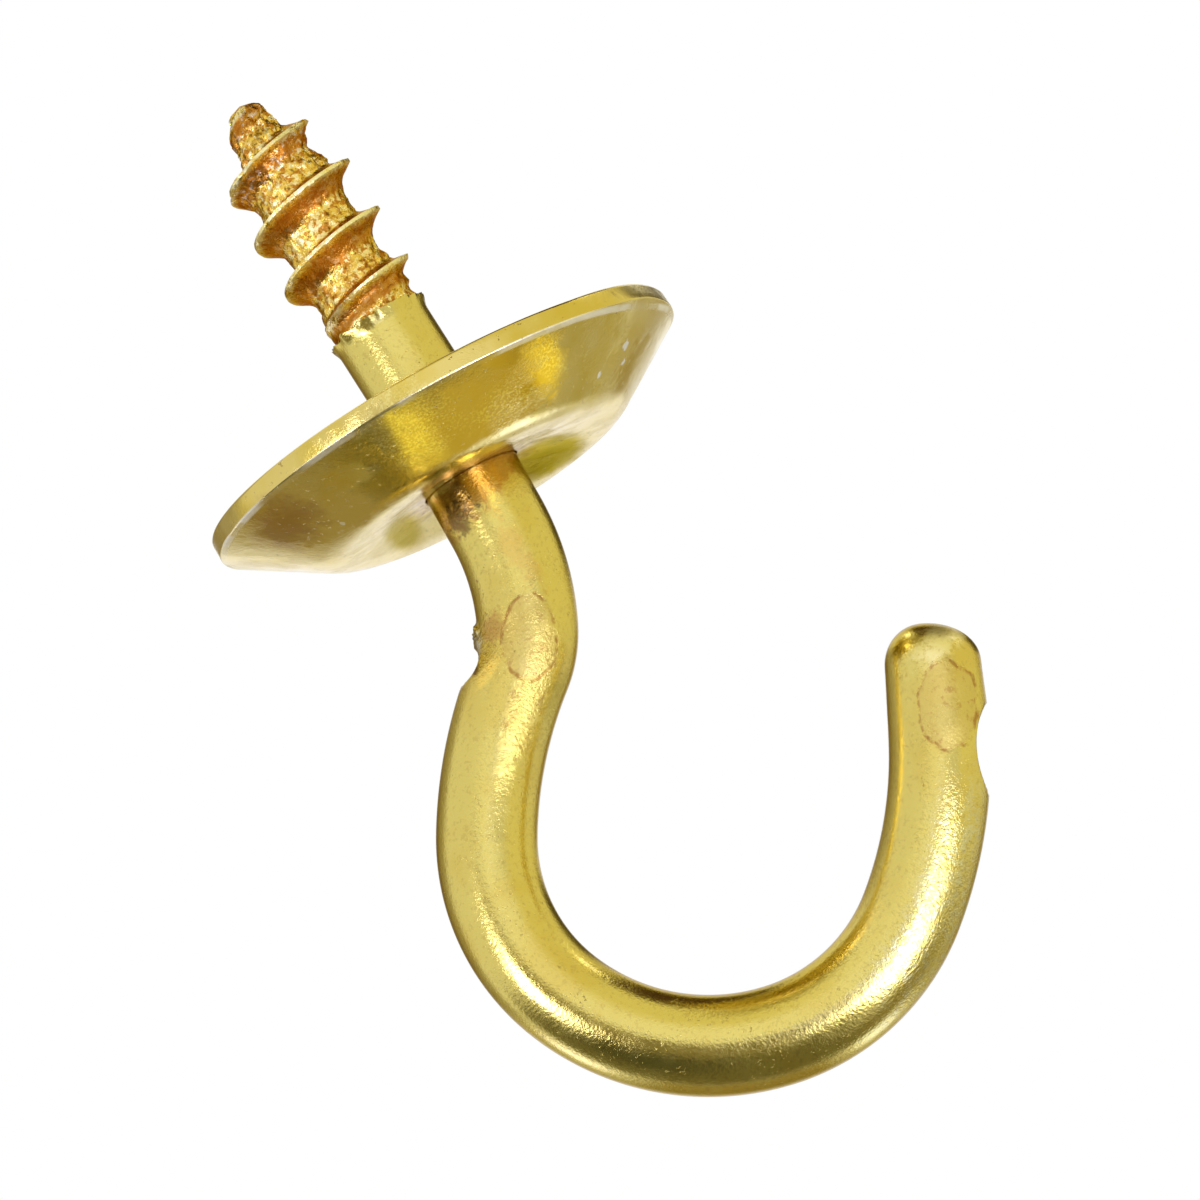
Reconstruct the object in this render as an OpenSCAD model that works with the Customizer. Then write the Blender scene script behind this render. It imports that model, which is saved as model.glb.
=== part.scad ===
// Cup hook: one bent wire with a wood-screw thread, and a pressed sheet collar held on it.
// +Z runs up the screw, z = 0 is the face of the collar that meets the wood, and the hook opens to +X.

/* [Wire] */
// Diameter of the wire
wire_d = 2.5; // [2.2:0.1:2.8]

/* [Screw] */
// Smooth shank between the collar's seat and the thread
shank_len = 2.85; // [2:0.05:6]
// Threaded length, from the shank to the end of the point
thread_len = 6.5; // [6:0.05:12]
// Diameter over the thread's crests
thread_d = 3.15; // [3:0.05:3.8]
// Diameter of the core between the crests
core_d = 2.06; // [1.7:0.02:2.1]
// Advance of the thread in one turn
pitch = 1.42; // [1.2:0.01:1.8]
// Angle round from the mouth at which the winding of the thread starts
thread_start = 23; // [0:1:359]
// Length of the tapered point
point_len = 2.3; // [1.6:0.1:3]
// Diameter of the blunt end of the point
point_d = 0.68; // [0.4:0.02:1]

/* [Collar] */
// Diameter of the rim that sits on the wood
collar_d = 12.7; // [12:0.1:16]
// Diameter where the cone would meet the flat face, before the corner is rounded
face_d = 8.1; // [7.5:0.1:9]
// Height of the dish, from the rim to the flat face
collar_h = 2; // [1.8:0.05:3]
// Height of the straight band around the rim
band_h = 0.48; // [0.3:0.02:0.6]
// Thickness of the sheet
sheet = 0.5; // [0.4:0.05:0.6]
// Rounding between the cone and the flat face
corner_r = 1.3; // [1:0.1:2]
// Clearance between the wire and the collar's hole
press_gap = 0.01; // [0:0.01:0.05]
// Angle off the screw's line at which the wire, and the collar on it, come away from the wood
collar_lean = 3; // [0.5:0.5:4]

/* [Hook] */
// Straight wire under the collar's flat face
neck_len = 0.95; // [0.2:0.05:3]
// Centreline radius of the neck's sweep away from the mouth
neck_r = 6.2; // [4:0.1:9]
// Angle of that sweep
neck_turn = 25; // [20:1:35]
// Centreline radius of the tight bend after it
knee_r = 2.6; // [1.6:0.1:4]
// Angle of the tight bend
knee_turn = 26; // [15:1:35]
// Depth of the nick that the bending pin left on the inside, at the end of the tight bend
nick_depth = 0.3; // [0.1:0.05:0.4]
// Radius of that nick
nick_r = 0.5; // [0.4:0.1:1]
// How far past the end of the tight bend the nick is
nick_on = 0.3; // [0:0.1:0.5]
// Centreline radius where the hook's curve starts
ease_r = 11.2; // [6:0.1:12]
// Angle of that start
ease_turn = 21; // [5:1:30]
// Centreline radius of the hook's two corners
hook_r = 5; // [4.5:0.1:9]
// Angle of each corner
corner_turn = 53; // [45:1:60]
// Centreline radius along the bottom, between the corners
bottom_r = 5.8; // [4.5:0.1:9]
// Angle of the bottom
bottom_turn = 54; // [45:1:60]
// Centreline radius towards the mouth
mouth_r = 10.6; // [6:0.1:14]
// Angle of that stretch
mouth_turn = 26; // [5:1:30]
// Straight end of the wire, with its rounded tip
end_len = 2.3; // [1.2:0.1:5]
// Rounding of the tip
tip_r = 1; // [0.6:0.05:1.1]
// Depth of the groove that the tool left on the outside, near the tip
bite_depth = 0.35; // [0.1:0.05:0.4]
// Radius of that groove
bite_r = 2.2; // [1:0.1:2.5]
// How far back from the tip the groove is
bite_back = 3.3; // [3:0.1:5]

/* [Hidden] */
$fn = 96;

wire_r = wire_d / 2;
collar_r = collar_d / 2;

// Thread profile over one pitch: the distance below the crest, and the share of the full height there.
// The flank that faces the point is steep and the one that faces the shank is hollow.
profile = [[-0.14, 0.2], [-0.03, 1], [0.03, 1], [0.13, 0.72], [0.25, 0.3], [0.42, 0.06], [0.6, 0]];
steps = 30;                    // sections in one turn
sunk = 0.3;                    // how far the core reaches down into the shank
screw_top = shank_len + thread_len;
screw_base = shank_len - sunk;
run_out = [0.25, 1.15];        // the thread rises to full height over this stretch above the shank
run_in = [0.35, 1.3];          // and falls away over this stretch below the end of the point
full_core_d = 2.34;            // core just above the shank, where the rolling dies left it thicker
full_core = [0.5, 1];          // the core narrows over this stretch above the shank

function ramp(t) = min(1, max(0, t));
function ease(t) = let (u = ramp(t)) u * u * (3 - 2 * u);

// Radius of the core, and the thread's height on it, at z
function core_at(z) = min(
    point_d / 2 + (core_d - point_d) / 2 * (screw_top - z) / point_len,
    core_d / 2 + (full_core_d - core_d) / 2
        * (1 - ease((z - shank_len - full_core[0]) / (full_core[1] - full_core[0]))));
function height_at(z) = (thread_d - core_d) / 2
    * ease((z - shank_len - run_out[0]) / (run_out[1] - run_out[0]))
    * ease((screw_top - z - run_in[0]) / (run_in[1] - run_in[0]));

// Beyond either end the winding carries on as a flat spiral, which closes the body
function fold(z) = max(z - screw_top, screw_base - z, 0) / (2 * pitch);
function screw_point(turn, drop, share) = let (
        wound = screw_base - pitch + pitch * turn - drop,
        z = min(screw_top, max(screw_base, wound)),
        r = (core_at(z) + share * height_at(z)) * (1 - fold(wound)))
    [r * cos(360 * turn), r * sin(360 * turn), z];

// Core and thread of the screw as one closed body, wound section by section
module screw_body() {
    n_prof = len(profile);
    turns = (screw_top - screw_base + profile[n_prof - 1][0]) / pitch + 1;
    last = ceil(turns * steps);
    // One section holds the profile from its low end to its high end; the next turn's low end closes it
    rows = [for (i = [0:last]) for (j = [n_prof - 1:-1:0])
        screw_point(i / steps, profile[j][0], profile[j][1])];
    lows = [for (i = [last + 1:last + steps])
        screw_point(i / steps, profile[n_prof - 1][0], profile[n_prof - 1][1])];
    ends = [[0, 0, screw_base], [0, 0, screw_top]];
    function at(i, j) = j == n_prof ? at(i + steps, 0)
        : i <= last ? i * n_prof + j : (last + 1) * n_prof + (i - last - 1);
    base_centre = (last + 1) * n_prof + steps;
    skin = [for (i = [0:last - 1]) for (j = [0:n_prof - 1])
        for (f = [[at(i, j), at(i, j + 1), at(i + 1, j)], [at(i + 1, j), at(i, j + 1), at(i + 1, j + 1)]]) f];
    // Each flat end is a fan round its centre, apart from the corner beside the step in the spiral
    base = concat([for (i = [0:steps - 2]) [base_centre, at(i, 0), at(i + 1, 0)]],
        [for (j = [0:n_prof - 1]) [at(steps - 1, 0), at(0, j + 1), at(0, j)]],
        [[at(steps - 1, 0), at(0, 0), base_centre]]);
    top = concat([for (i = [last + 1:last + steps - 1]) [base_centre + 1, at(i + 1, 0), at(i, 0)]],
        [for (j = [0:n_prof - 1]) [at(last + 1, 0), at(last, j), at(last, j + 1)]],
        [[at(last + 1, 0), at(last + steps, 0), base_centre + 1]]);
    rotate([0, 0, thread_start])
        polyhedron(points = concat(rows, lows, ends), faces = concat(skin, base, top));
}

// Where the wire has got to: [x, z, heading], with heading 0 straight down and positive towards -X
function after(p, r, turn) = let (side = sign(turn), h = p[2] + turn)
    turn == 0 ? [p[0] - r * sin(h), p[1] - r * cos(h), h]
    : [p[0] + side * r * (cos(h) - cos(p[2])), p[1] - side * r * (sin(h) - sin(p[2])), h];

// Each stretch of wire stops a hair short of the next, and a disc a hair wider makes them one solid
seam = 0.04;
seam_r = wire_r + 0.002;
lean_r = 20;                   // radius on which the wire turns into its lean
lean_len = lean_r * tan(collar_lean / 2);
// Each stretch of the wire: [radius, turn] for a bend, or [length, 0] where it is straight
stretches = [[lean_r, collar_lean], [collar_h + neck_len - lean_len, 0], [neck_r, neck_turn],
    [knee_r, knee_turn], [ease_r, -ease_turn], [hook_r, -corner_turn], [bottom_r, -bottom_turn],
    [hook_r, -corner_turn], [mouth_r, -mouth_turn]];
nicked = 4;                    // the stretch that starts at the end of the tight bend
function place(i) = i == 0 ? [0, lean_len, 0]
    : after(place(i - 1), stretches[i - 1][0], stretches[i - 1][1]);

// A bend that starts at the origin, heading down, and turns towards -X when turn is positive
module bend(r, turn) {
    short = seam / 4 / r * 180 / PI;
    mirror([turn < 0 ? 1 : 0, 0, 0]) translate([-r, 0, 0]) rotate([-90, 0, 0])
        rotate_extrude(angle = abs(turn) - 2 * short, start = short) translate([r, 0]) circle(r = wire_r);
}

// The straight end of the wire, heading down from the origin, with its edge rounded off
module wire_end() {
    rotate_extrude() intersection() {
        union() {
            translate([0, -end_len + tip_r]) square([wire_r, end_len]);
            translate([0, -end_len]) square([wire_r - tip_r, end_len]);
            translate([wire_r - tip_r, -end_len + tip_r]) circle(r = tip_r);
        }
        translate([0, -end_len]) square([wire_r, end_len - seam / 4]);
    }
}

// Moves its children to where stretch i of the wire starts, with the wire heading down
module at_stretch(i) {
    p = place(i);
    translate([p[0], 0, p[1]]) rotate([0, p[2], 0]) children();
}

// A straight stretch from the origin down, or the bend that starts there
module stretch(size, turn) {
    if (turn == 0) translate([0, 0, seam / 4 - size]) cylinder(r = wire_r, h = size - seam / 2);
    else bend(size, turn);
}

// A round groove across the wire at the origin, on the hook's outer side
module groove(r, depth) {
    translate([depth - wire_r - r, 0, 0]) rotate([90, 0, 0]) cylinder(r = r, h = 2 * wire_d, center = true);
}

module hook_wire() {
    n = len(stretches);
    color([0.84, 0.74, 0.3]) difference() {
        union() {
            screw_body();
            translate([0, 0, lean_len + seam / 4]) cylinder(r = wire_r, h = shank_len - lean_len - seam / 4);
            for (i = [0:n - 1]) at_stretch(i) stretch(stretches[i][0], stretches[i][1]);
            at_stretch(n) wire_end();
            for (i = [0:n]) at_stretch(i) translate([0, 0, -seam / 2]) cylinder(r = seam_r, h = seam);
        }
        at_stretch(nicked) translate([0, 0, -nick_on]) groove(nick_r, nick_depth);
        at_stretch(n) translate([0, 0, bite_back - end_len]) groove(bite_r, bite_depth);
    }
}

module collar() {
    hole_r = wire_r + press_gap;
    color([0.8, 0.76, 0.5]) rotate([0, collar_lean, 0]) rotate_extrude() difference() {
        dish_outline(0);
        dish_outline(sheet);
        square([2 * hole_r, 2 * collar_h + 2], center = true);
    }
}

// Half of the dish's outline, set in by `inset` on every side but the open one
module dish_outline(inset) {
    lean = atan2(collar_h - band_h, collar_r - face_d / 2);
    rim = collar_r - inset;
    rim_z = -band_h + inset * tan(45 - lean / 2);
    face_x = face_d / 2 - inset * tan(lean / 2);
    face_z = -collar_h + inset;
    over = inset > 0 ? 1 : 0;
    // The corner's rounding keeps its centre, and a wedge beyond it is cleared down to the arc
    r = corner_r - inset;
    corner = [face_d / 2 - corner_r * tan(lean / 2), -collar_h + corner_r];
    difference() {
        polygon([[0, over], [rim, over], [rim, rim_z], [face_x, face_z], [0, face_z]]);
        translate(corner) difference() {
            polygon([[0, 0], [0, -2 * r], [2 * r * tan(lean / 2), -2 * r], 2 * r * [sin(lean), -cos(lean)]]);
            circle(r = r - 0.001);
        }
    }
}

hook_wire();
collar();
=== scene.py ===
import math
import bpy
from mathutils import Matrix, Vector, noise


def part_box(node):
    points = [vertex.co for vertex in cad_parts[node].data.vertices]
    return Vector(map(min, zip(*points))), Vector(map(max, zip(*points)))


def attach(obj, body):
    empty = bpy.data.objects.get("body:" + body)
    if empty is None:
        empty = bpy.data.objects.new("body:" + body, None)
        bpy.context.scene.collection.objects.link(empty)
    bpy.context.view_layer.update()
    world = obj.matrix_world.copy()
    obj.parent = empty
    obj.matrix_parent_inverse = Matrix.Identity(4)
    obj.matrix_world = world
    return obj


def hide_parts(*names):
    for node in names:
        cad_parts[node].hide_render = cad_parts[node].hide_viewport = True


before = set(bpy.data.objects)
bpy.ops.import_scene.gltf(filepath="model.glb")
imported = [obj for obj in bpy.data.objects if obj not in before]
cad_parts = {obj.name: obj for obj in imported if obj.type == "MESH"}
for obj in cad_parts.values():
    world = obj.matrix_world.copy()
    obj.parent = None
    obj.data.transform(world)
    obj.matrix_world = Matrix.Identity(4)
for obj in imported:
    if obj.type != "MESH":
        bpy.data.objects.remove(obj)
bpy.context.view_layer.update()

bpy.ops.object.select_all(action="DESELECT")


# The screw: a wood-screw thread cold rolled into the end of the brass wire, which pushed the metal of
# the hollows up into thin crests. The dies left the hollows rough and the point ragged.
mm = 0.001
full_turn = 2 * math.pi
wire_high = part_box("hook_wire")[1]
screw_top = wire_high.z
thread_r = wire_high.y
core_r = 1.03 * mm
thick_core_r = 1.17 * mm
thick_core_len = 0.5 * mm
shank_top = 2.85 * mm
pitch = 1.42 * mm
hidden_start = 0.3 * mm
first_crest = shank_top - hidden_start - pitch
wind_start = math.radians(23)
point_len = 2.3 * mm
point_r = 0.34 * mm
nose_len = 0.22 * mm
run_out_from = 0.25 * mm
run_out_len = 0.9 * mm
run_in_from = 0.15 * mm
run_in_len = 1.2 * mm
lower_flank = 0.62 * mm
upper_flank = 0.2 * mm
crest_flat = 0.045 * mm
profile_points = 32
steps_in_turn = 112
weld_gap = 0.002 * mm
seam_above_shank = 0.06 * mm
nose_cut = 0.01 * mm

# Height and angle round the screw of the burrs that the dies left, each a small lump
burrs = [(8.75, 180), (7.05, 0), (4.14, 0)]
burr_height = 0.11 * mm
burr_width = 0.26 * mm

# The lumps in the hollows and the waves along the crests, both larger on the last stretch to the point,
# and the fine ridges by the shank
lump_size = 0.3 * mm
lump_noise = (0.9, 2.2, 4)
lump_height = 0.055 * mm
point_lump_height = 0.05 * mm
lump_limit = -0.8
crest_polish = 0.85
rough_from = 0.1 * mm
rough_ease = 0.3 * mm
wave_size = 0.5 * mm
wave_depth = 0.08
point_wave_depth = 0.25
ragged_len = 2.9 * mm
ragged_ease = 1.3 * mm
ridge_height = 0.035 * mm
ridges_in_pitch = 3
ridges_len = 0.95 * mm

# Where a flank starts and ends and a crest starts, as shares of the thread's height
flank_foot = 0.12
flank_top = 0.9
flank_fade = 0.3
crest_foot = 0.75


def ease(value):
    """Goes gently from 0 to 1 as the value does."""
    part = min(1.0, max(0.0, value))
    return part * part * (3 - 2 * part)


def draw_line(name, points):
    """Starts one point and extrudes it along the others, as an open line."""
    bpy.ops.mesh.primitive_plane_add(size=mm, enter_editmode=True)
    bpy.context.object.name = name
    bpy.ops.mesh.select_mode(type="VERT")
    bpy.ops.mesh.merge(type="CENTER")
    bpy.ops.transform.translate(value=points[0])
    for start, end in zip(points, points[1:]):
        bpy.ops.mesh.extrude_region_move(TRANSFORM_OT_translate={"value": end - start})
    bpy.ops.object.mode_set(mode="OBJECT")
    return bpy.context.object


def flank_height(below_crest):
    """Share of the thread's height: a long hollow flank on the shank's side, a steep one to the point."""
    flank = lower_flank if below_crest > 0 else upper_flank
    return max(0.0, 1 - max(0.0, abs(below_crest) - crest_flat) / flank) ** 2


def core_radius(z):
    """The core's radius: thick above the shank, even, and tapering to a blunt nose."""
    taper = point_r + (core_r - point_r) * (screw_top - z) / point_len
    nose = math.sqrt(ease((screw_top - z) / nose_len))
    thick = (thick_core_r - core_r) * (1 - ease((z - shank_top - thick_core_len) / thick_core_len))
    return min(taper, core_r + thick) * nose


def thread_height(z):
    """The thread's height over the core, which grows out of the shank and dies away at the point."""
    run_out = ease((z - shank_top - run_out_from) / run_out_len)
    run_in = ease((screw_top - z - run_in_from) / run_in_len)
    return (thread_r - core_r) * run_out * run_in


def burr_at(place):
    """How far the burrs lift the metal at one place on the screw."""
    lift = 0
    for height, angle in burrs:
        angle = math.radians(angle)
        top = Vector((core_r * math.cos(angle), core_r * math.sin(angle), height * mm))
        lift += burr_height * ease(1 - (place - top).length / burr_width)
    return lift


crest_line = []
for i in range(profile_points + 1):
    below = pitch * (0.5 - i / profile_points)
    crest_line.append(Vector((core_r + (thread_r - core_r) * flank_height(below), 0, first_crest - below)))
screw = draw_line("screw", crest_line)
winding = screw.modifiers.new("winding", "SCREW")
winding.axis = "Z"
winding.screw_offset = pitch
winding.iterations = math.ceil((screw_top - first_crest) / pitch) + 1
winding.steps = winding.render_steps = steps_in_turn
bpy.ops.object.modifier_apply(modifier="winding")
bpy.ops.object.mode_set(mode="EDIT")
bpy.ops.mesh.select_all(action="SELECT")
bpy.ops.mesh.remove_doubles(threshold=weld_gap)
bpy.ops.transform.rotate(value=-wind_start, orient_axis="Z", center_override=(0, 0, 0))
bpy.ops.object.mode_set(mode="OBJECT")

# Each point of the even thread moves to its place on the real one. Two attributes remember where the long
# flanks and the crests are, for the finish: painted shade on those flanks and a painted highlight on the
# crests.
flank_mask = screw.data.attributes.new("flank", "FLOAT", "POINT")
crest_mask = screw.data.attributes.new("crest", "FLOAT", "POINT")
for vert in screw.data.vertices:
    x, y, z = vert.co
    around = math.atan2(y, x)
    share = (math.hypot(x, y) - core_r) / (thread_r - core_r)
    turns_below = ((first_crest - z) / pitch + (around - wind_start) / full_turn) % 1
    on_flank = ease(share / flank_foot) * ease((flank_top - share) / flank_fade) if turns_below < 0.5 else 0
    flank_mask.data[vert.index].value = on_flank
    crest_mask.data[vert.index].value = ease((share - crest_foot) / (1 - crest_foot))
    near_point = ease((z - screw_top + ragged_len) / ragged_ease)
    near_shank = ease((shank_top + ridges_len - z) / rough_ease)
    lumps = max(lump_limit, noise.fractal(vert.co / lump_size, *lump_noise)) * (1 - crest_polish * share)
    rough = ease((z - shank_top - rough_from) / rough_ease) * (lump_height + point_lump_height * near_point)
    waves = max(0, noise.noise(vert.co / wave_size + Vector((7, 3, 1))))
    height = thread_height(min(z, screw_top)) * (1 - (wave_depth + point_wave_depth * near_point) * waves)
    ridges = ridge_height * near_shank * (1 - share) * math.cos(ridges_in_pitch * full_turn * turns_below)
    radius = core_radius(min(z, screw_top)) + share * height + ridges + burr_at(vert.co) - rough * lumps
    vert.co = (radius * math.cos(around), radius * math.sin(around), z)

bpy.ops.object.mode_set(mode="EDIT")
bpy.ops.mesh.select_all(action="SELECT")
bpy.ops.mesh.bisect(plane_co=(0, 0, shank_top + seam_above_shank), plane_no=(0, 0, 1), clear_inner=True)
bpy.ops.mesh.select_all(action="SELECT")
bpy.ops.mesh.bisect(plane_co=(0, 0, screw_top - nose_cut), plane_no=(0, 0, 1), clear_outer=True)
bpy.ops.mesh.merge(type="CENTER")
bpy.ops.object.mode_set(mode="OBJECT")


# The hook: the same piece of 2.5 mm round brass wire, bent cold round pins into the neck, the knee and
# the open hook. The pins and grippers left a nick, a groove near the tip and two flattened ovals.
quarter_turn = math.pi / 2
wire_r = 1.244 * mm
ring_points = 132
ring_step = 0.09 * mm
lean = math.radians(3)
lean_r = 20 * mm
lean_len = lean_r * math.tan(lean / 2)
collar_h = 2 * mm
neck_len = 0.95 * mm
end_len = 2.35 * mm
tip_len = 1 * mm
tip_shift = 0.24 * mm
tip_rings = 16
# Radius in mm and turn of each bend from the neck to the mouth, positive away from the mouth
bends = [(6.2, 25), (2.6, 26), (11.2, -21), (5, -53), (5.8, -54), (5, -53), (10.6, -26)]


def along(heading):
    return Vector((-math.sin(heading), 0, -math.cos(heading)))


def across(heading):
    return Vector((math.cos(heading), 0, -math.sin(heading)))


def draw_straight(place, heading, length):
    """Extrudes the wire's open end along a straight, ring by ring, and returns where it has got to."""
    rings = max(1, round(length / ring_step))
    for _ in range(rings):
        bpy.ops.mesh.extrude_region_move(TRANSFORM_OT_translate={"value": along(heading) * length / rings})
    return place + along(heading) * length


def draw_bend(place, heading, radius, turn):
    """Spins the wire's open end round the centre of a bend, and returns its new place and heading."""
    arm = across(heading) * math.copysign(radius, turn)
    rings = max(1, round(radius * abs(turn) / ring_step))
    bpy.ops.mesh.spin(steps=rings, angle=-turn, center=place - arm, axis=(0, 1, 0))
    new_arm = across(heading + turn) * math.copysign(radius, turn)
    return place - arm + new_arm, heading + turn


bpy.ops.mesh.primitive_circle_add(vertices=ring_points, radius=wire_r, fill_type="NOTHING",
                                  enter_editmode=True)
bpy.ops.transform.translate(value=(0, 0, shank_top))
wire = bpy.context.object
wire.name = "hook_wire_brass"
wire_end = draw_straight(Vector((0, 0, shank_top)), 0, shank_top - lean_len)
wire_end, heading = draw_bend(wire_end, 0, lean_r, lean)
wire_end = draw_straight(wire_end, heading, collar_h + neck_len - lean_len)
bend_starts = []
for radius, turn in bends:
    bend_starts.append((wire_end, heading))
    wire_end, heading = draw_bend(wire_end, heading, radius * mm, math.radians(turn))
last_straight = (wire_end, heading)
wire_end = draw_straight(wire_end, heading, end_len - tip_len)
for i in range(1, tip_rings):
    angle = quarter_turn * i / tip_rings
    last = quarter_turn * (i - 1) / tip_rings
    step = along(heading) * tip_len * (math.sin(angle) - math.sin(last))
    step += across(heading) * tip_shift * (math.cos(last) - math.cos(angle))
    bpy.ops.mesh.extrude_region_move(TRANSFORM_OT_translate={"value": step})
    wire_end = wire_end + step
    ratio = math.cos(angle) / math.cos(last)
    bpy.ops.transform.resize(value=(ratio, ratio, ratio), center_override=wire_end)
bpy.ops.mesh.extrude_region_move()
bpy.ops.mesh.merge(type="CENTER")
bpy.ops.object.mode_set(mode="OBJECT")

# The marks on the wire. The nick is measured from the third bend, at the knee, and the groove that the
# last pin bit from the last straight.
lip_len = 0.4 * mm
lip_flare = 0.09 * mm
lip_rise = 0.09 * mm
lip_tears = 3.1
lip_noise = (0.8, 2.1, 4)
narrow_share = 0.055
narrow_from = -0.6 * mm
narrow_len = 2.4 * mm
narrow_reach = 1.6 * wire_r
knee = bend_starts[2]
nick_at = -0.3 * mm
nick_depth = 0.32 * mm
nick_above_r = 0.42 * mm
nick_below_r = 0.85 * mm
bite_at = 1 * mm
bite_depth = 0.42 * mm
bite_skew = 0.12
bite_r = 2.2 * mm
flake_at = 0.42 * mm
flake_half_len = 0.34 * mm
flake_half_width = 0.75 * mm
flake_middle = -0.15 * mm
flake_edge = -0.55 * mm
flake_height = 0.13 * mm
flake_grain = 0.16 * mm
flake_noise = (0.7, 2.2, 4)
flake_least = 0.45
# Centre, half width and half length of each oval that a gripper flattened, on the side away from +Y
oval_lean = math.radians(33)
ovals = [
    (Vector((-1.0, -1.2, -6.05)) * mm, 0.68 * mm, 1.05 * mm),
    (Vector((6.68, -1.2, -12.98)) * mm, 0.72 * mm, 1.12 * mm),
]
oval_depth = 0.008 * mm
oval_flat = 0.92
oval_rim = 0.16


def narrow_end(co):
    """The cutter that parted the wire left its end a little thinner and rounder."""
    place, heading = last_straight
    past = (co - place).dot(along(heading))
    out = (co - place).dot(across(heading))
    if past < narrow_from or abs(out) > narrow_reach:
        return co
    narrowing = narrow_share * ease((past - narrow_from) / narrow_len)
    return co - narrowing * (across(heading) * out + Vector((0, co.y, 0)))


def shape_lip(co):
    """The rolling dies pushed a thin ragged lip out round the shank's top edge."""
    near = ease((co.z - shank_top + lip_len) / lip_len)
    around = math.atan2(co.y, co.x)
    ragged = noise.fractal(Vector((math.cos(around), math.sin(around), 0)) * lip_tears, *lip_noise)
    out = 1 + near ** 2 * lip_flare * (0.75 + 0.9 * ragged) / wire_r
    return Vector((co.x * out, co.y * out, co.z + near ** 3 * lip_rise * ragged))


def press_pin(co, start, at, depth, above_r, below_r, skew=0.0):
    """Presses a round groove across the wire's outer side, `at` back from the start of a stretch. A
    skewed pin goes deeper towards the back."""
    place, heading = start
    out = (co - place).dot(across(heading))
    back = -(co - place).dot(along(heading)) - at
    radius = above_r if back > 0 else below_r
    if abs(back) > radius or out > 0:
        return co
    groove = depth - wire_r - radius + math.sqrt(radius ** 2 - back ** 2) + skew * co.y
    return co + across(heading) * max(0.0, groove - out)


def raise_flake(co, start):
    """Above the nick, the pin tore up a thin flake of metal."""
    place, heading = start
    out = (co - place).dot(across(heading))
    back = (-(co - place).dot(along(heading)) - flake_at) / flake_half_len
    side = (co.y - flake_middle) / flake_half_width
    if abs(back) > 1 or out > flake_edge or abs(side) > 1:
        return co
    jagged = max(0.0, noise.fractal(co / flake_grain, *flake_noise) + flake_least)
    return co - across(heading) * flake_height * jagged * (1 - side ** 2) * (1 - back ** 2)


def press_oval(co, centre, half_width, half_length):
    """A gripper's pad pressed the wire in a little within an oval outline."""
    run = co - centre
    wide = (run.x * math.cos(oval_lean) - run.z * math.sin(oval_lean)) / half_width
    long = (run.x * math.sin(oval_lean) + run.z * math.cos(oval_lean)) / half_length
    inside = 1 - ease((math.hypot(wide, long) - oval_flat) / oval_rim)
    if co.y > 0:
        return co
    return Vector((co.x, co.y + oval_depth * inside, co.z))


for vert in wire.data.vertices:
    co = narrow_end(vert.co.copy())
    if co.z > shank_top - lip_len:
        co = shape_lip(co)
    co = press_pin(co, knee, nick_at, nick_depth, nick_above_r, nick_below_r)
    co = raise_flake(co, knee)
    co = press_pin(co, last_straight, bite_at, bite_depth, bite_r, bite_r, bite_skew)
    for oval in ovals:
        co = press_oval(co, *oval)
    vert.co = co

# The screw and the hook become one skin: the two open rings under the thread are bridged
screw.select_set(True)
wire.select_set(True)
bpy.context.view_layer.objects.active = wire
bpy.ops.object.join()
bpy.ops.object.mode_set(mode="EDIT")
bpy.ops.mesh.select_mode(type="EDGE")
bpy.ops.mesh.select_all(action="DESELECT")
bpy.ops.mesh.select_non_manifold()
bpy.ops.mesh.bridge_edge_loops()
bpy.ops.mesh.select_all(action="SELECT")
bpy.ops.mesh.normals_make_consistent(inside=False)
bpy.ops.object.mode_set(mode="OBJECT")
bpy.ops.object.shade_smooth_by_angle(angle=math.radians(55))
bpy.ops.object.select_all(action="DESELECT")


def add_node(tree, kind, **inputs):
    """Adds a shader node and fills its inputs: a socket is linked, anything else is a plain value."""
    node = tree.nodes.new("ShaderNode" + kind)
    for name, value in inputs.items():
        socket = node.inputs[int(name[1:])] if name[0] == "_" else node.inputs[name.replace("_", " ")]
        if isinstance(value, bpy.types.NodeSocket):
            tree.links.new(value, socket)
        else:
            socket.default_value = value
    return node


def maths(tree, operation, first, second=0.0):
    node = add_node(tree, "Math", _0=first, _1=second)
    node.operation = operation
    return node.outputs[0]


def stain(tree, under, colour, mask, share=1.0):
    """Lays a colour over plain or painted metal where the mask is 1. A share below 1 lets the metal
    show through."""
    mix = tree.nodes.new("ShaderNodeMix")
    mix.data_type = "RGBA"
    if isinstance(under, bpy.types.NodeSocket):
        tree.links.new(under, mix.inputs["A"])
    else:
        mix.inputs["A"].default_value = (*under, 1)
    mix.inputs["B"].default_value = (*colour, 1)
    if share < 1:
        mask = maths(tree, "MULTIPLY", mask, share)
    tree.links.new(mask, mix.inputs["Factor"])
    return mix.outputs["Result"]


def grains(tree, place, scale, detail=3.0, roughness=0.6):
    """Noise with `scale` grains a millimetre."""
    node = add_node(tree, "TexNoise", Vector=place, Scale=scale, Detail=detail, Roughness=roughness)
    return node.outputs["Fac"]


def between(tree, value, low, high, low_out=0.0, high_out=1.0):
    """Eases from low_out to high_out as the value goes from low to high, which may run downwards."""
    flip = low > high
    node = add_node(tree, "MapRange", Value=value, From_Min=min(low, high), From_Max=max(low, high),
                    To_Min=high_out if flip else low_out, To_Max=low_out if flip else high_out)
    node.interpolation_type = "SMOOTHSTEP"
    return node.outputs[0]


def swing(tree, grain, width):
    """Noise that swings to both sides of 0."""
    return maths(tree, "MULTIPLY", maths(tree, "SUBTRACT", grain, 0.5), width)


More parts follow.
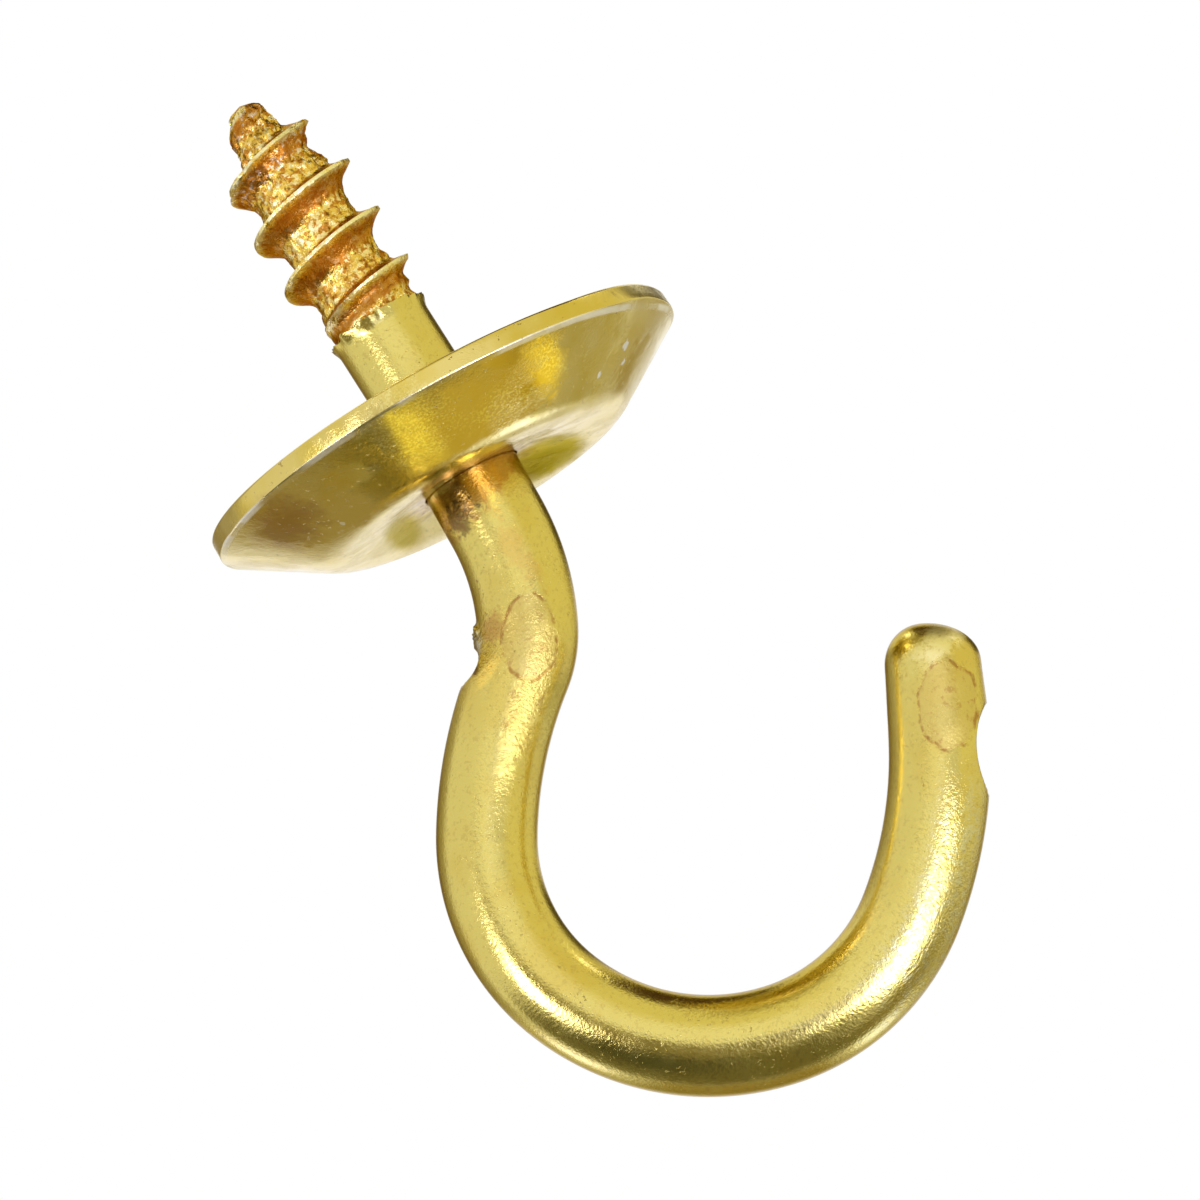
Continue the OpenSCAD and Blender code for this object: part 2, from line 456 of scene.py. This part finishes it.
def distance_in_oval(tree, place, centre, sizes, turn=0.0):
    """How far out a point is: 0 at the oval's centre, 1 on its outline. Sizes are half sizes in mm."""
    node = add_node(tree, "Mapping", Vector=place, Location=centre, Rotation=(0, turn, 0), Scale=sizes)
    node.vector_type = "TEXTURE"
    length = add_node(tree, "VectorMath", _0=node.outputs[0])
    length.operation = "LENGTH"
    return length.outputs["Value"]


def patch(tree, place, centre, sizes, turn=0.0, ragged=0.5, scale=4.0, edge=0.35):
    """A mask that is 1 inside an oval patch with a ragged edge."""
    torn = swing(tree, grains(tree, place, scale), 4 * ragged)
    out = maths(tree, "ADD", distance_in_oval(tree, place, centre, sizes, turn), torn)
    return between(tree, out, 1 + edge, 1 - edge)


def brass_start(name):
    """A new metal with its node tree, its shader and object coordinates in millimetres."""
    material = bpy.data.materials.new(name)
    material.use_nodes = True
    tree = material.node_tree
    where = add_node(tree, "TexCoord").outputs["Object"]
    place = add_node(tree, "Mapping", Vector=where, Scale=(1 / mm, 1 / mm, 1 / mm)).outputs[0]
    shader = tree.nodes["Principled BSDF"]
    shader.inputs["Metallic"].default_value = 1
    return material, tree, shader, place


def bump_up(tree, height, distance, under=None):
    """A bump of one height map, in millimetres, on top of another bump."""
    node = add_node(tree, "Bump", Height=height, Distance=distance * mm, Strength=1.0)
    if under:
        tree.links.new(under, node.inputs["Normal"])
    return node.outputs[0]


# Colours of the clean metal, of bare and rubbed metal, of painted highlights, reflections and sheen, and of
# what has settled on it
yellow_brass = (0.79, 0.65, 0.16)
deep_brass = (0.75, 0.57, 0.11)
bare_silver_and_glint = (0.86, 0.84, 0.78)
highlight_gold = (1.0, 0.74, 0.15)
painted_reflection_pale = (0.98, 0.88, 0.42)
rubbed_grey_sheen = (0.76, 0.75, 0.44)
coppery = (0.74, 0.4, 0.07)
tarnish = (0.56, 0.27, 0.04)
rust = (0.56, 0.3, 0.07)
dull_brass = (0.6, 0.42, 0.12)
dust = (0.55, 0.4, 0.09)
knee_brown = (0.45, 0.25, 0.05)
oval_brown = (0.45, 0.2, 0.05)
outline_brown = (0.42, 0.21, 0.035)
brown = (0.3, 0.15, 0.035)
dark_brown = (0.1, 0.045, 0.012)
endless = 1000

# The drawn wire: bright yellow brass under thin clear lacquer, faintly mottled, with pits and stains
# where it was handled
wire_brass, tree, shader, place = brass_start("wire_brass")
shader.inputs["Specular Tint"].default_value = (0.5, 0.38, 0.14, 1)
shader.inputs["Coat Weight"].default_value = 0.6
shader.inputs["Coat Roughness"].default_value = 0.1
axes = add_node(tree, "SeparateXYZ", Vector=place)
clouds = between(tree, grains(tree, place, 0.6), 0.42, 0.66, high_out=0.7)
colour = stain(tree, yellow_brass, deep_brass, clouds)

# The neck: brown and pitted under the collar, with thin orange stains further down
neck_brown = patch(tree, place, (-0.1, -0.9, -2.1), (1.8, 1.2, 0.5), math.radians(-16), ragged=0.6)
colour = stain(tree, colour, tarnish, neck_brown, 0.75)
neck_dark = patch(tree, place, (-0.8, -1.0, -2.55), (0.4, 0.8, 0.38), ragged=0.8, scale=5.0)
colour = stain(tree, colour, dark_brown, neck_dark, 0.65)
neck_orange = patch(tree, place, (-0.1, -1.2, -4.2), (0.3, 0.8, 1.0), ragged=0.8, scale=3.0)
colour = stain(tree, colour, coppery, neck_orange, 0.35)

# The knee: rust over the nick, and dirt and pits where the bend was gripped
knee_rust = patch(tree, place, (-1.6, -1.0, -5.3), (0.32, 0.8, 0.3), ragged=0.6, scale=6.0)
colour = stain(tree, colour, rust, knee_rust, 0.7)
knee_dirt = patch(tree, place, (-1.3, -1.0, -5.9), (1.1, 0.8, 0.9), edge=0.5)
knee_pits = patch(tree, place, (-1.7, -1.2, -7.2), (0.5, 0.8, 1.9), math.radians(50), ragged=0.4, scale=3.0,
                  edge=0.5)
knee_gripped = maths(tree, "MAXIMUM", maths(tree, "MULTIPLY", knee_dirt, 0.45), knee_pits)
knee_specks = between(tree, grains(tree, place, 6.0, 4.0, 0.7), 0.53, 0.61)
colour = stain(tree, colour, knee_brown, maths(tree, "MULTIPLY", knee_gripped, knee_specks), 0.7)

# The torn flake by the nick shows bare bright metal, painted near white as a glint, and dirt sits in the
# nick
flake = patch(tree, place, (-2.35, -0.3, -5.3), (0.35, 0.9, 0.42), ragged=0.3, scale=6.0)
colour = stain(tree, colour, bare_silver_and_glint, flake, 0.85)
nick_dirt = patch(tree, place, (-2.5, -0.4, -5.95), (0.2, 0.9, 0.12), scale=6.0)
colour = stain(tree, colour, dark_brown, nick_dirt, 0.85)
# A bright gold streak along the nick's lower edge: a painted highlight
nick_edge_highlight = patch(tree, place, (-2.3, -0.9, -6.2), (0.16, 0.7, 0.45), math.radians(66), ragged=0.2,
                  scale=5.0)
colour = stain(tree, colour, highlight_gold, nick_edge_highlight, 0.95)

# Dirt in the groove near the tip. The tip's top is painted paler, a painted reflection; the outer curve
# is greyer in grains, partly rubbed and partly a painted silvery sheen
bite_dirt = patch(tree, place, (7.05, 0.75, -13.8), (0.45, 1.1, 0.9), ragged=0.3, scale=5.0)
colour = stain(tree, colour, brown, bite_dirt, 0.8)
# The tip's top painted paler: a painted reflection
tip_painted_paler = patch(tree, place, (7.4, -0.5, -11.5), (1.0, 0.9, 0.45), math.radians(-20), ragged=0.2)
colour = stain(tree, colour, painted_reflection_pale, tip_painted_paler, 0.8)
from_middle = distance_in_oval(tree, place, (0.28, 0, -11.8), (1, endless, 1))
outer_curve = maths(tree, "MULTIPLY", between(tree, from_middle, 5.4, 6.0),
                    between(tree, axes.outputs["Z"], -14.0, -15.6))
outer_curve = maths(tree, "MULTIPLY", outer_curve, between(tree, axes.outputs["X"], 0.6, 2.6))
coarse_specks = grains(tree, place, 5.0, 4.0, 0.7)
# Greyer grains along the outer curve: rubbed metal with a painted silvery sheen
curve_worn_and_sheen = maths(tree, "MULTIPLY", outer_curve, between(tree, coarse_specks, 0.44, 0.6))
colour = stain(tree, colour, rubbed_grey_sheen, curve_worn_and_sheen, 0.5)

# Each oval is a little duller and browner than the wire, with a thin broken outline
near_side = between(tree, axes.outputs["Y"], -0.2, -0.6)
wander = swing(tree, grains(tree, place, 1.4), 0.4)
broken = between(tree, grains(tree, place, 2.6), 0.42, 0.6)
outlines = []
insides = []
for centre, half_width, half_length in ovals:
    sizes = (half_width / mm, 3.0, half_length / mm)
    from_centre = maths(tree, "ADD", distance_in_oval(tree, place, centre / mm, sizes, oval_lean), wander)
    line = maths(tree, "ABSOLUTE", maths(tree, "SUBTRACT", from_centre, 1.0))
    ring = maths(tree, "MULTIPLY", between(tree, line, 0.08, 0.02), broken)
    outlines.append(maths(tree, "MULTIPLY", ring, near_side))
    insides.append(maths(tree, "MULTIPLY", between(tree, from_centre, 1.02, 0.95), near_side))
outline_mask = maths(tree, "MAXIMUM", *outlines)
oval_mask = maths(tree, "MAXIMUM", *insides)
oval_specks = maths(tree, "MULTIPLY", oval_mask, between(tree, coarse_specks, 0.56, 0.66))
colour = stain(tree, colour, dull_brass, oval_mask, 0.35)
colour = stain(tree, colour, oval_brown, oval_specks, 0.45)
colour = stain(tree, colour, outline_brown, outline_mask, 0.9)

# Pits in some places, and fine dust all over
pit_area = between(tree, grains(tree, place, 0.9), 0.48, 0.64)
pits = between(tree, grains(tree, place, 10.0, 3.0, 0.7), 0.38, 0.32)
pit_mask = maths(tree, "MULTIPLY", pits, pit_area)
colour = stain(tree, colour, brown, pit_mask, 0.55)
dusting = between(tree, grains(tree, place, 8.0, 4.0, 0.7), 0.52, 0.64)
colour = stain(tree, colour, dust, dusting, 0.4)
tree.links.new(colour, shader.inputs["Base Color"])

rough = between(tree, grains(tree, place, 1.3, 4.0), 0.35, 0.7, 0.11, 0.22)
dulled = maths(tree, "MULTIPLY", maths(tree, "MAXIMUM", oval_mask, knee_gripped), 0.15)
rough = maths(tree, "ADD", rough, dulled)
rough = maths(tree, "ADD", rough, maths(tree, "MULTIPLY", tip_painted_paler, 0.25))
tree.links.new(rough, shader.inputs["Roughness"])
fine_grain = grains(tree, place, 12.0, 3.0, 0.65)
grained = maths(tree, "MAXIMUM", knee_gripped, maths(tree, "MULTIPLY", outer_curve, 0.5))
hollows = maths(tree, "ADD", pit_mask, maths(tree, "MULTIPLY", outline_mask, 0.5))
normal = bump_up(tree, grains(tree, place, 1.5), 0.008)
normal = bump_up(tree, fine_grain, 0.008, normal)
normal = bump_up(tree, maths(tree, "MULTIPLY", fine_grain, grained), 0.02, normal)
normal = bump_up(tree, hollows, -0.008, normal)
tree.links.new(normal, shader.inputs["Normal"])
wire.data.materials.append(wire_brass)

# The thread: tarnished coppery in its hollows, with painted shade on the long lower flanks, and paler along
# its crests, partly worn and partly a painted highlight. All of it is coarse and grainy, with silvery
# grains towards the point
thread_gold = (0.92, 0.62, 0.11)
thread_copper = (0.56, 0.23, 0.025)
flank_copper_shade = (0.5, 0.18, 0.02)
speck_gold = (1.0, 0.84, 0.36)
crest_gold_highlight = (1.0, 0.9, 0.46)
thread_brass, tree, shader, place = brass_start("thread_brass")
shader.inputs["Specular Tint"].default_value = (0.5, 0.3, 0.1, 1)
axes = add_node(tree, "SeparateXYZ", Vector=place)
flank = tree.nodes.new("ShaderNodeAttribute")
flank.attribute_name = "flank"
crest = tree.nodes.new("ShaderNodeAttribute")
crest.attribute_name = "crest"
grain = grains(tree, place, 3.2, 4.0, 0.75)
speck = grains(tree, place, 6.0, 3.0, 0.7)
colour = stain(tree, thread_gold, thread_copper, between(tree, grain, 0.46, 0.58))
colour = stain(tree, colour, speck_gold, between(tree, speck, 0.52, 0.58))
colour = stain(tree, colour, dark_brown, between(tree, speck, 0.42, 0.36), 0.7)
# Coppery tarnish and painted shade on the long lower flanks
colour = stain(tree, colour, flank_copper_shade, flank.outputs["Fac"], 0.8)
# Paler crests: worn metal and a painted highlight
crest_worn_highlight = maths(tree, "MULTIPLY", crest.outputs["Fac"], between(tree, grain, 0.38, 0.52))
colour = stain(tree, colour, crest_gold_highlight, crest_worn_highlight)
near_point = between(tree, axes.outputs["Z"], 6.4, 7.6)
point_grain = maths(tree, "MULTIPLY", near_point, between(tree, speck, 0.54, 0.6))
colour = stain(tree, colour, bare_silver_and_glint, point_grain, 0.4)
tree.links.new(colour, shader.inputs["Base Color"])
tree.links.new(between(tree, grain, 0.4, 0.6, 0.2, 0.38), shader.inputs["Roughness"])
normal = bump_up(tree, grain, 0.045)
normal = bump_up(tree, speck, 0.018, normal)
tree.links.new(normal, shader.inputs["Normal"])
wire.data.materials.append(thread_brass)
thread_from = shank_top + 0.02 * mm
for face in wire.data.polygons:
    if face.center.z > thread_from:
        face.material_index = 1
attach(wire, "root")
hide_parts("hook_wire")


# The collar: a shallow dish pressed from thin brass sheet, with a straight band round its open side and
# a hole that grips the wire. It sits square to the leaning wire, with the band's edge on the wood.
collar_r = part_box("collar")[1].y
band_h = 0.48 * mm
sheet = 0.5 * mm
face_r = 4.05 * mm
corner_r = 1.3 * mm
hole_r = 1.26 * mm
edge_r = 0.08 * mm
outline_step = 0.11 * mm
least_gap = 0.004 * mm
collar_steps = 300
down = -quarter_turn
cone = math.atan2(collar_h - band_h, collar_r - face_r)


def arc(centre, radius, start, end, points):
    """Points in the XZ plane round a centre, from one angle to another."""
    made = []
    for i in range(points + 1):
        angle = start + (end - start) * i / points
        made.append(centre + radius * Vector((math.cos(angle), 0, math.sin(angle))))
    return made


def under_band(inset):
    """The centre of the turn from the wall to the band, or to its inner side."""
    return Vector((collar_r - inset, 0, -band_h + inset * math.tan(quarter_turn / 2 - cone / 2)))


corner = Vector((face_r - corner_r * math.tan(cone / 2), 0, corner_r - collar_h))
runs = [
    [Vector((hole_r, 0, edge_r - collar_h))],
    arc(Vector((hole_r + edge_r, 0, edge_r - collar_h)), edge_r, 2 * down, down, 4),
    arc(corner, corner_r, down, down + cone, 14),
    arc(under_band(edge_r), edge_r, down + cone, 0, 6),
    arc(Vector((collar_r - edge_r, 0, -edge_r)), edge_r, 0, -down, 4),
    arc(Vector((collar_r - sheet + edge_r, 0, -edge_r)), edge_r, -down, -2 * down, 4),
    [under_band(sheet)],
    arc(corner, corner_r - sheet, down + cone, down, 10),
    [Vector((hole_r, 0, sheet - collar_h))],
    [Vector((hole_r, 0, edge_r - collar_h))],
]
outline = [runs[0][0]]
for run in runs:
    for point in run:
        start = outline[-1]
        gap = (point - start).length
        parts = max(1, round(gap / outline_step))
        if gap > least_gap:
            outline += [start.lerp(point, i / parts) for i in range(1, parts + 1)]
collar = draw_line("collar_brass", outline)
bpy.ops.object.mode_set(mode="EDIT")
bpy.ops.mesh.select_all(action="SELECT")
bpy.ops.mesh.spin(steps=collar_steps, angle=full_turn, center=(0, 0, 0), axis=(0, 0, 1))
bpy.ops.mesh.select_all(action="SELECT")
bpy.ops.mesh.remove_doubles(threshold=weld_gap)
bpy.ops.mesh.normals_make_consistent(inside=False)
bpy.ops.object.mode_set(mode="OBJECT")

# Pressing the collar on dished the metal round the hole. The rest are knocks from the box: soft dents
# all over, and one place where the rim was bent over.
dimple_r = 3.4 * mm
dimple_depth = 0.3 * mm
inner_floor = -1 * mm
knock_size = 2.6 * mm
knock_depth = 0.02 * mm
knock_from = 2 * mm
dent_at = math.radians(-20)
dent_reach = math.radians(28)
dent_width = 0.9 * mm
dent_depth = 0.05 * mm
dent_fold = 0.11 * mm
dent_lift = 0.12 * mm
for vert in collar.data.vertices:
    x, y, z = vert.co
    out = math.hypot(x, y)
    soft = max(0.0, noise.noise(Vector((x, y, 0)) / knock_size))
    knocked = knock_depth * soft * ease((out - knock_from) / knock_from)
    near = max(0.0, 1 - abs(math.atan2(y, x) - dent_at) / dent_reach)
    bent = near * ease((out - collar_r + dent_width) / dent_width)
    pressed = (dent_depth + dent_fold * ease(1 + z / band_h)) * bent
    scale = 1 - (knocked + pressed) / out
    dished = dimple_depth * ease((dimple_r - out) / (dimple_r - hole_r)) if z < inner_floor else 0
    vert.co = (x * scale, y * scale, z + dished + dent_lift * bent)
bpy.ops.object.mode_set(mode="EDIT")
bpy.ops.mesh.select_all(action="SELECT")
bpy.ops.transform.rotate(value=-lean, orient_axis="Y", center_override=(0, 0, 0))
bpy.ops.object.mode_set(mode="OBJECT")
bpy.ops.object.shade_smooth_by_angle(angle=math.radians(40))
bpy.ops.object.select_all(action="DESELECT")

# Its finish: polished and mirror-like, with grainy patches, browner at one side, tarnish round the hole,
# and
# painted light: a painted reflection of the neck as a dull olive film to each side of it on its face, and
# painted sparkle, glints and a pale highlight line
polished_brass = (0.8, 0.64, 0.2)
side_darker_brown = (0.36, 0.16, 0.06)
reflection_olive = (0.42, 0.33, 0.05)
reflection_sheen = (0.75, 0.68, 0.34)
painted_sparkle_gold = (1.0, 0.88, 0.34)
highlight_cream = (0.98, 0.95, 0.78)
glint_white = (1.0, 0.98, 0.9)
collar_brass, tree, shader, place = brass_start("collar_brass")
colour = stain(tree, polished_brass, deep_brass, between(tree, grains(tree, place, 0.5), 0.42, 0.64))
# Browner and darker over one side of the wall
side_darker = patch(tree, place, (-4.6, -3.4, -0.9), (0.9, 1.5, 0.6), ragged=0.4, scale=2.0, edge=0.6)
colour = stain(tree, colour, side_darker_brown, side_darker, 0.6)
# A dull olive film painted on the face to each side of the neck: a painted reflection of the neck
right_painted_reflection = patch(tree, place, (1.8, 1.3, -1.9), (1.0, 1.7, 0.6), ragged=0.15, scale=2.0, edge=0.3)
left_painted_reflection = patch(tree, place, (-2.2, 0.7, -1.8), (0.45, 1.7, 0.6), ragged=0.15, scale=2.0, edge=0.4)
face_painted_reflection = maths(tree, "MAXIMUM", right_painted_reflection, maths(tree, "MULTIPLY", left_painted_reflection, 0.8))
colour = stain(tree, colour, reflection_olive, face_painted_reflection, 0.75)
hole_stain = patch(tree, place, (-0.1, 0, -1.7), (1.7, 1.7, 0.4), ragged=0.25, edge=0.3)
colour = stain(tree, colour, brown, hole_stain, 0.7)
specks = between(tree, grains(tree, place, 6.0, 4.0, 0.7), 0.64, 0.7)
colour = stain(tree, colour, brown, specks, 0.5)

# Bright grains painted where the wall mirrors the hook's warm light, a painted sparkling highlight: the
# centre and half sizes of each place, in mm
sparkle_grains = between(tree, grains(tree, place, 15.0, 2.0), 0.5, 0.56)
sparkle_highlights = [
    ((-0.7, -5.7, -1.0), (1.1, 1.3, 0.9)),
    ((1.5, -4.6, -1.5), (0.9, 1.0, 0.35)),
    ((3.1, -4.6, -1.1), (0.35, 1.0, 0.6)),
]
for centre, sizes in sparkle_highlights:
    sparkle_patch = patch(tree, place, centre, sizes, scale=2.0, edge=0.5)
    colour = stain(tree, colour, painted_sparkle_gold, maths(tree, "MULTIPLY", sparkle_grains, sparkle_patch), 0.7)

# A pale broken line along the outside, just under the band: a painted highlight where the band turns
from_seat = add_node(tree, "VectorMath", _0=place, _1=(math.sin(lean), 0, math.cos(lean)))
from_seat.operation = "DOT_PRODUCT"
from_turn = maths(tree, "ABSOLUTE", maths(tree, "ADD", from_seat.outputs["Value"], band_h / mm + 0.03))
from_axis = distance_in_oval(tree, place, (0, 0, 0), (1, 1, endless), lean)
highlight_breaks = between(tree, grains(tree, place, 0.5), 0.42, 0.58, low_out=0.2)
highlight_line = maths(tree, "MULTIPLY", between(tree, from_turn, 0.08, 0.03), highlight_breaks)
highlight_line = maths(tree, "MULTIPLY", highlight_line, between(tree, from_axis, 5.93, 6.03))
colour = stain(tree, colour, highlight_cream, highlight_line, 0.8)

# Small white spots in the wall, painted glints at tiny nicks: the centre and reach of each, in mm
glint_nicks = [((-3.3, -3.1, -1.5), 0.09), ((4.83, -2.2, -1.42), 0.13), ((4.57, -1.8, -1.67), 0.09),
         ((3.92, -2.6, -1.77), 0.09)]
for centre, reach in glint_nicks:
    nick = patch(tree, place, centre, (reach, reach, reach), ragged=0.7, scale=7.0, edge=0.2)
    colour = stain(tree, colour, glint_white, nick)
tree.links.new(colour, shader.inputs["Base Color"])
# The painted reflection of the neck also tints the face's gloss
tree.links.new(stain(tree, (1, 1, 1), reflection_sheen, face_painted_reflection), shader.inputs["Specular Tint"])
grainy = between(tree, grains(tree, place, 0.8), 0.4, 0.58)
rough = between(tree, grains(tree, place, 2.2), 0.35, 0.7, 0.08, 0.16)
rough = maths(tree, "ADD", rough, maths(tree, "MULTIPLY", grainy, 0.06))
rough = maths(tree, "ADD", rough, maths(tree, "MULTIPLY", highlight_line, 0.35))
tree.links.new(rough, shader.inputs["Roughness"])
grainy_height = maths(tree, "MULTIPLY", grainy, grains(tree, place, 14.0, 3.0, 0.7))
normal = bump_up(tree, grains(tree, place, 1.1), 0.005)
normal = bump_up(tree, grainy_height, 0.01, normal)
normal = bump_up(tree, specks, -0.01, normal)
tree.links.new(normal, shader.inputs["Normal"])
collar.data.materials.append(collar_brass)
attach(collar, "root")
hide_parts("collar")


# The studio: the hook hangs as from the underside of a shelf, far above a pale floor, in front of plain
# white. The camera looks slightly up at it, rolled on its axis.
elevation = math.radians(-10.6)
roll = math.radians(32.5)
camera_distance = 300 * mm
aim_height = -5 * mm
aim_right = 1.32 * mm
aim_up = -0.29 * mm
turned = Matrix.Rotation(quarter_turn - elevation, 3, "X") @ Matrix.Rotation(-roll, 3, "Z")
right, up, towards = turned.transposed()
aim = Vector((0, 0, aim_height)) + aim_right * right + aim_up * up
bpy.ops.object.camera_add(location=aim + camera_distance * towards, rotation=turned.to_euler())
camera = bpy.context.object
camera.data.lens = 367.9
camera.data.clip_start = 10 * mm
bpy.context.scene.camera = camera


def direction(away, clock):
    """A direction `away` degrees from the camera's, towards `clock` degrees round from its right."""
    away, clock = math.radians(away), math.radians(clock)
    return math.cos(away) * towards + math.sin(away) * (math.cos(clock) * right + math.sin(clock) * up)


def soft_box(name, away, clock, width, height, brightness, tint, tilt=0):
    """A square lamp that faces the hook, as wide and high as the angles it fills, turned by `tilt`."""
    distance = 400 * mm
    where = direction(away, clock)
    side = (direction(away, clock + 1) - where).normalized()
    side = (side - where * side.dot(where)).normalized()
    lamp = bpy.data.lights.new(name, "AREA")
    lamp.shape = "RECTANGLE"
    lamp.size = 2 * distance * math.tan(math.radians(width / 2))
    lamp.size_y = 2 * distance * math.tan(math.radians(height / 2))
    lamp.energy = brightness * math.pi * lamp.size * lamp.size_y
    lamp.color = tint
    stand = bpy.data.objects.new(name, lamp)
    faced = Matrix((side, where.cross(side), where)).transposed()
    faced = faced @ Matrix.Rotation(math.radians(tilt), 3, "Z")
    stand.matrix_world = Matrix.Translation(aim + distance * where) @ faced.to_4x4()
    bpy.context.collection.objects.link(stand)


def paint_card(board, shade, soft, upper_side_only=False):
    """Makes a card glow softly, with edges that fade out over `soft` of it. Only reflections show it."""
    paint = bpy.data.materials.new(board.name)
    paint.use_nodes = True
    tree = paint.node_tree
    tree.nodes.remove(tree.nodes["Principled BSDF"])
    spot = add_node(tree, "SeparateXYZ", Vector=add_node(tree, "UVMap").outputs["UV"])
    fades = []
    for axis in ("X", "Y"):
        edge = maths(tree, "ABSOLUTE", maths(tree, "SUBTRACT", spot.outputs[axis], 0.5))
        fades.append(between(tree, edge, 0.5, 0.5 - soft))
    mask = maths(tree, "MULTIPLY", *fades)
    if upper_side_only:
        under = add_node(tree, "NewGeometry").outputs["Backfacing"]
        mask = maths(tree, "MULTIPLY", mask, maths(tree, "SUBTRACT", 1.0, under))
    glow = add_node(tree, "Emission", Color=(*shade, 1))
    clear = add_node(tree, "BsdfTransparent")
    mix = add_node(tree, "MixShader", _0=mask, _1=clear.outputs[0], _2=glow.outputs[0])
    tree.links.new(mix.outputs[0], tree.nodes["Material Output"].inputs["Surface"])
    board.data.materials.append(paint)
    board.visible_camera = False
    board.visible_shadow = False
    board.visible_diffuse = False
    board.visible_transmission = False


def card(name, away, clock, shade, soft, distance=0.45):
    """A curved card round the hook, from one angle away from the camera to another and from one clock
    angle to another."""
    bpy.ops.mesh.primitive_grid_add(x_subdivisions=24, y_subdivisions=24, size=1)
    board = bpy.context.object
    board.name = name
    for vert in board.data.vertices:
        share = vert.co + Vector((0.5, 0.5, 0))
        turned_away = away[0] + (away[1] - away[0]) * share.x
        turned_round = clock[0] + (clock[1] - clock[0]) * share.y
        vert.co = aim + distance * direction(turned_away, turned_round)
    paint_card(board, shade, soft)


def gold_card(name, place, width, depth, shade):
    """A small card under the collar, which throws warm light up at its wall, as the hook itself does."""
    bpy.ops.mesh.primitive_plane_add(size=1, enter_editmode=True)
    bpy.ops.transform.resize(value=(width * mm, depth * mm, 1))
    bpy.ops.transform.translate(value=Vector(place) * mm)
    bpy.ops.object.mode_set(mode="OBJECT")
    board = bpy.context.object
    board.name = name
    paint_card(board, shade, 0.3, True)


# Three soft lamps: a weak one by the camera, and one to each side for the long highlights
soft_box("lamp_front", 7, 342, width=26, height=26, brightness=0.45, tint=(0.85, 0.95, 2.4))
soft_box("lamp_left", 41, 201, width=12, height=24, brightness=7, tint=(1, 1, 1.5), tilt=32)
soft_box("lamp_right", 32, 340, width=19, height=36, brightness=5.8, tint=(0.97, 1, 1.5), tilt=-4)

# Bright cards that the curved metal mirrors as thin white lights
far = 0.5
near = 0.42
card("lamp_card_left", (98, 130), (227, 250), (2, 2.05, 3.4), soft=0.4, distance=near)
card("lamp_card_right", (92, 134), (301, 319), (1.75, 1.95, 3.3), soft=0.4, distance=near)
card("lamp_card_above_left", (114, 126), (116, 130), (4, 4, 3.8), soft=0.35, distance=near)
card("lamp_card_above_right", (98, 110), (54, 65), (3.5, 3.5, 3.3), soft=0.35, distance=near)
card("card_behind", (146, 177), (228, 345), (1.05, 1.05, 1.12), soft=0.25, distance=0.43)

# Dull cards below, for the olive band along the bottom of the hook and on the collar's wall
card("card_below_near", (0, 38), (150, 306), (0.24, 0.21, 0.125), soft=0.25, distance=0.125)
card("card_below", (20, 104), (208, 318), (0.17, 0.155, 0.095), soft=0.18, distance=0.13)
card("card_below_dark", (24, 80), (222, 272), (0.08, 0.08, 0.05), soft=0.35, distance=0.12)
card("card_below_right", (60, 106), (296, 352), (0.29, 0.25, 0.14), soft=0.25, distance=0.44)
card("card_low", (92, 146), (248, 304), (0.36, 0.3, 0.16), soft=0.22, distance=far)
card("card_low_right", (92, 134), (316, 350), (0.5, 0.47, 0.34), soft=0.25, distance=far)

# Cards round the sides and above, for the darker edges of the wire and the band
card("card_left", (104, 174), (146, 240), (0.42, 0.38, 0.28), soft=0.25)
card("card_left_edge", (134, 172), (164, 226), (0.3, 0.24, 0.12), soft=0.3, distance=near)
card("card_above", (86, 150), (58, 120), (0.08, 0.045, 0.02), soft=0.22)
card("card_above_left", (66, 108), (92, 142), (0.34, 0.28, 0.1), soft=0.3, distance=0.46)
card("card_upper_right", (122, 174), (8, 62), (0.14, 0.12, 0.06), soft=0.3)
card("card_right", (132, 158), (-38, 10), (0.42, 0.36, 0.2), soft=0.3)
card("card_side", (34, 150), (-20, 146), (0.82, 0.77, 0.46), soft=0.2, distance=far)
card("card_far_side", (20, 150), (140, 215), (0.84, 0.83, 0.8), soft=0.15, distance=0.52)
gold_card("gold_card_wide", (1.0, -4.3, -4.2), 7.4, 3.6, (0.58, 0.47, 0.12))
gold_card("gold_card_left", (-1.15, -4.8, -4), 1.7, 2.6, (0.92, 0.8, 0.2))
gold_card("gold_card_right", (4.0, -3.4, -4), 1.7, 2.4, (1.05, 0.9, 0.23))

floor_width = 20
floor_below = 0.6
bpy.ops.mesh.primitive_plane_add(size=floor_width, location=(0, 0, -floor_below))
floor = bpy.context.object
floor.name = "floor"
floor_paint = bpy.data.materials.new("floor_paint")
floor_paint.use_nodes = True
floor_shader = floor_paint.node_tree.nodes["Principled BSDF"]
floor_shader.inputs["Base Color"].default_value = (0.85, 0.85, 0.84, 1)
floor_shader.inputs["Roughness"].default_value = 0.8
floor.data.materials.append(floor_paint)

# Plain white where the camera, the metal and clear things look, and a little less light on the object
world = bpy.data.worlds.new("studio")
world.use_nodes = True
bpy.context.scene.world = world
tree = world.node_tree
rays = add_node(tree, "LightPath")
seen = maths(tree, "MAXIMUM", rays.outputs["Is Camera Ray"], rays.outputs["Is Glossy Ray"])
seen = maths(tree, "MAXIMUM", seen, rays.outputs["Is Transmission Ray"])
tree.nodes["Background"].inputs["Color"].default_value = (1, 1, 1, 1)
tree.links.new(between(tree, seen, 0, 1, 0.8, 1.0), tree.nodes["Background"].inputs["Strength"])
bpy.context.scene.view_settings.view_transform = "Standard"
